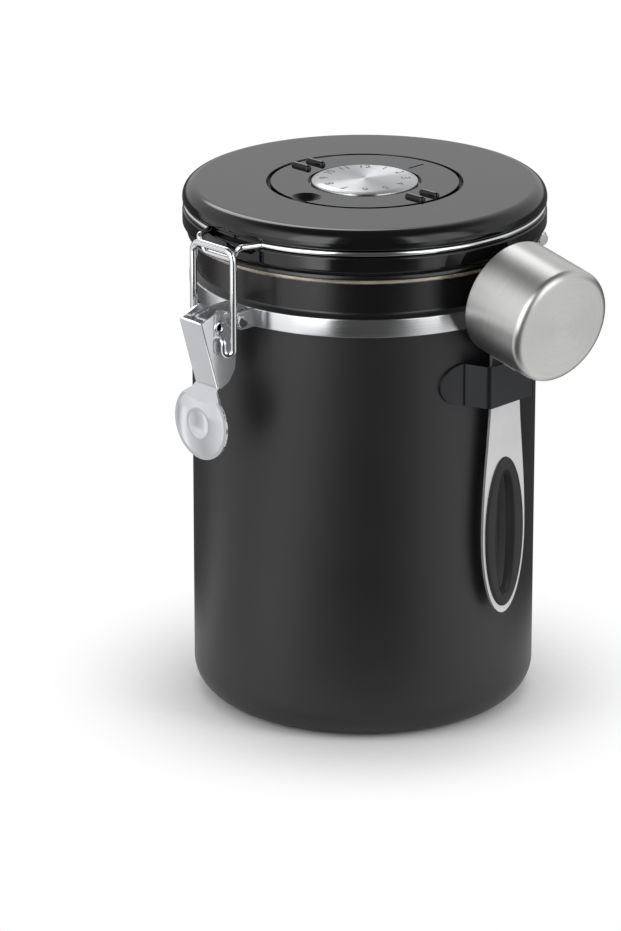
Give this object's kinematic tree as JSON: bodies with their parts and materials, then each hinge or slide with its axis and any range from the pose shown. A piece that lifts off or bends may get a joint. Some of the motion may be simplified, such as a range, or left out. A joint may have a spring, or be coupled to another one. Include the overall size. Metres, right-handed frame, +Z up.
{
  "type": "coffee canister",
  "caption": "Airtight cylindrical food canister with wire-bail clamp latch, hinged lid with one-way valve and turnable date ring, and a scoop held in a side clip.",
  "frame": {"origin": "centre of the base, on the surface that the canister stands on", "axes": "+Z up along the canister's axis, -Y towards the latch, +Y towards the lid hinge, scoop near +X"},
  "size_m": [0.1573, 0.1543, 0.1834],
  "materials": {
    "body_coat": "satin black powder coat on stainless steel",
    "bright_steel": "mirror polished stainless steel",
    "clip_coat": "semi-gloss black paint on spring steel",
    "lid_plastic": "high gloss black moulded plastic",
    "liner_plastic": "dark moulded plastic",
    "silicone": "translucent white silicone",
    "dial_metal": "spun aluminium with printed numbers",
    "brushed_cup": "brushed stainless steel",
    "handle_steel": "polished stainless sheet",
    "grip_rubber": "black soft rubber"
  },
  "bodies": {
    "canister": {"canister_body": "body_coat", "neck_band": "bright_steel", "latch_bracket": "bright_steel", "clamp_bolt": "bright_steel", "clamp_nut": "bright_steel", "hinge_bracket": "bright_steel", "hinge_pin": "bright_steel", "scoop_clip": "clip_coat"},
    "lid": {"lid_cover": "lid_plastic", "lid_gasket": "silicone", "lid_liner": "liner_plastic", "valve_seat": "liner_plastic", "valve_flap": "silicone", "dial_plate": "dial_metal", "bail_ring": "bright_steel"},
    "date_ring_body": {"date_ring": "lid_plastic"},
    "lever": {"latch_lever": "bright_steel", "pivot_rivet": "bright_steel"},
    "link": {"latch_link": "bright_steel"},
    "scoop": {"scoop_cup": "brushed_cup", "scoop_handle": "handle_steel", "scoop_grip": "grip_rubber"}
  },
  "joints": [
    {"name": "lid_hinge", "type": "hinge", "parent": "canister", "child": "lid", "pos_m": [0, 0.071, 0.15], "axis": [-1, 0, 0], "range_deg": [0, 105]},
    {"name": "date_ring_turn", "type": "hinge", "parent": "lid", "child": "date_ring_body", "pos_m": [0, 0, 0.18], "axis": [0, 0, 1], "continuous": true},
    {"name": "lever_hinge", "type": "hinge", "parent": "canister", "child": "lever", "pos_m": [0, -0.0724, 0.1469], "axis": [-1, 0, 0], "range_deg": [0, 108]},
    {"name": "link_hinge", "type": "hinge", "parent": "lever", "child": "link", "pos_m": [0, -0.0722, 0.1426], "axis": [-1, 0, 0], "range_deg": [-135, 0]},
    {"name": "scoop_lift", "type": "slide", "parent": "canister", "child": "scoop", "axis": [0, 0, 1], "range_m": [0, 0.095]}
  ],
  "couplings": [
    {"joint": "link_hinge", "follows": "lever_hinge", "ratio": -1.25}
  ]
}
